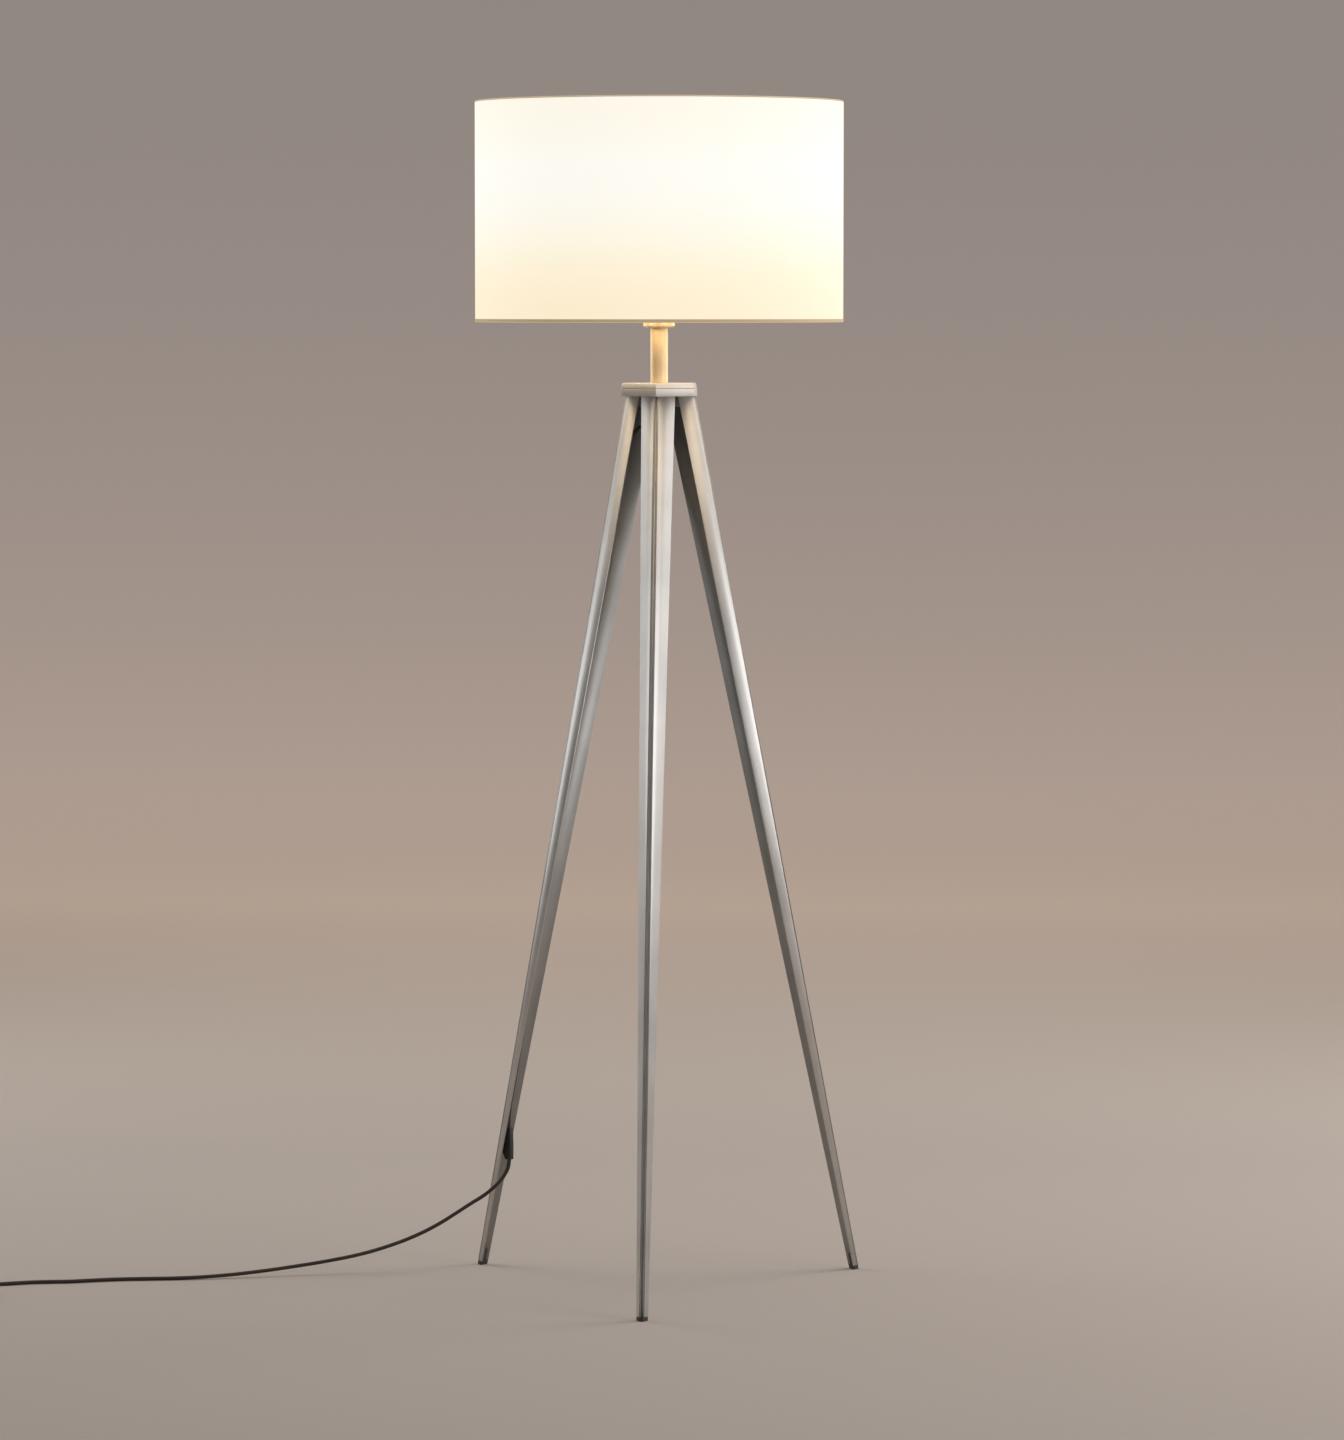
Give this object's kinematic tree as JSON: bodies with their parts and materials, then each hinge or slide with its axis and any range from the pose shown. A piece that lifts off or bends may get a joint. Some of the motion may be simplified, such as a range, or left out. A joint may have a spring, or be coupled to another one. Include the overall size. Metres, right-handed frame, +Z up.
{
  "type": "floor lamp",
  "caption": "Tripod floor lamp: lit white drum shade on a short stem over a hexagonal hub with grooved, tapered metal legs, and a cord with a foot switch, a tied coil and a plug.",
  "frame": {"origin": "on the floor, at the bottom centre of the box of the lamp without its cord", "axes": "+Z up, -Y towards the front leg, +X to the right seen from the front; the free cord lies towards -X"},
  "size_m": [1.2221, 0.5352, 1.5521],
  "materials": {
    "shade_fabric": "white cotton weave laminated on a translucent backing, lit from inside",
    "white_wire": "white powder coat",
    "brushed_nickel": "satin nickel plate on steel, fine grain along each piece",
    "steel": "zinc plated steel",
    "plug_metal": "nickel plated",
    "brass": "bare brass strip",
    "cap_metal": "bare rolled screw cap",
    "opal_glass": "opal white, glowing",
    "black_glass": "black glass insulator",
    "ceramic": "glazed white",
    "black_plastic": "satin black",
    "grey_plastic": "satin dark grey",
    "pad_plastic": "matt, slightly soft",
    "cord_sheath": "smooth dark brown cord sheath"
  },
  "bodies": {
    "lamp": {"bulb_cap": "cap_metal", "bulb_glass": "opal_glass", "bulb_insulator": "black_glass", "bulb_tip": "steel", "centre_contact": "brass", "cord_coil": "cord_sheath", "cord_lead": "cord_sheath", "cord_tail": "cord_sheath", "cord_tie": "black_plastic", "foot_pad_front": "pad_plastic", "foot_pad_left": "pad_plastic", "foot_pad_right": "pad_plastic", "holder_cup": "brushed_nickel", "holder_insert": "ceramic", "holder_nut": "steel", "holder_sleeve": "black_plastic", "hub_cover": "brushed_nickel", "hub_nut": "steel", "hub_plate": "brushed_nickel", "hub_washer": "steel", "inner_cable": "cord_sheath", "leg_block_front": "steel", "leg_block_left": "steel", "leg_block_right": "steel", "leg_front": "brushed_nickel", "leg_left": "brushed_nickel", "leg_right": "brushed_nickel", "leg_screw_front_1": "steel", "leg_screw_front_2": "steel", "leg_screw_left_1": "steel", "leg_screw_left_2": "steel", "leg_screw_right_1": "steel", "leg_screw_right_2": "steel", "lower_shade_ring": "black_plastic", "plug_body": "black_plastic", "plug_pin_1": "plug_metal", "plug_pin_2": "plug_metal", "shade_drum": "shade_fabric", "shade_fitter": "white_wire", "shade_upper_ring": "white_wire", "side_contact": "brass", "stem_tube": "brushed_nickel", "strain_relief": "black_plastic", "switch_base": "black_plastic", "switch_cover": "black_plastic", "switch_module": "grey_plastic", "switch_screw_1": "steel", "switch_screw_2": "steel", "switch_sleeve_in": "black_plastic", "switch_sleeve_out": "black_plastic", "threaded_tube": "steel", "upper_shade_ring": "black_plastic"},
    "button": {"switch_button": "grey_plastic"}
  },
  "joints": [
    {"name": "button_press", "type": "slide", "parent": "lamp", "child": "button", "axis": [0, 0, -1], "range_m": [0, 0.003], "stiffness_N_per_m": 300, "springref_m": -0.002}
  ]
}
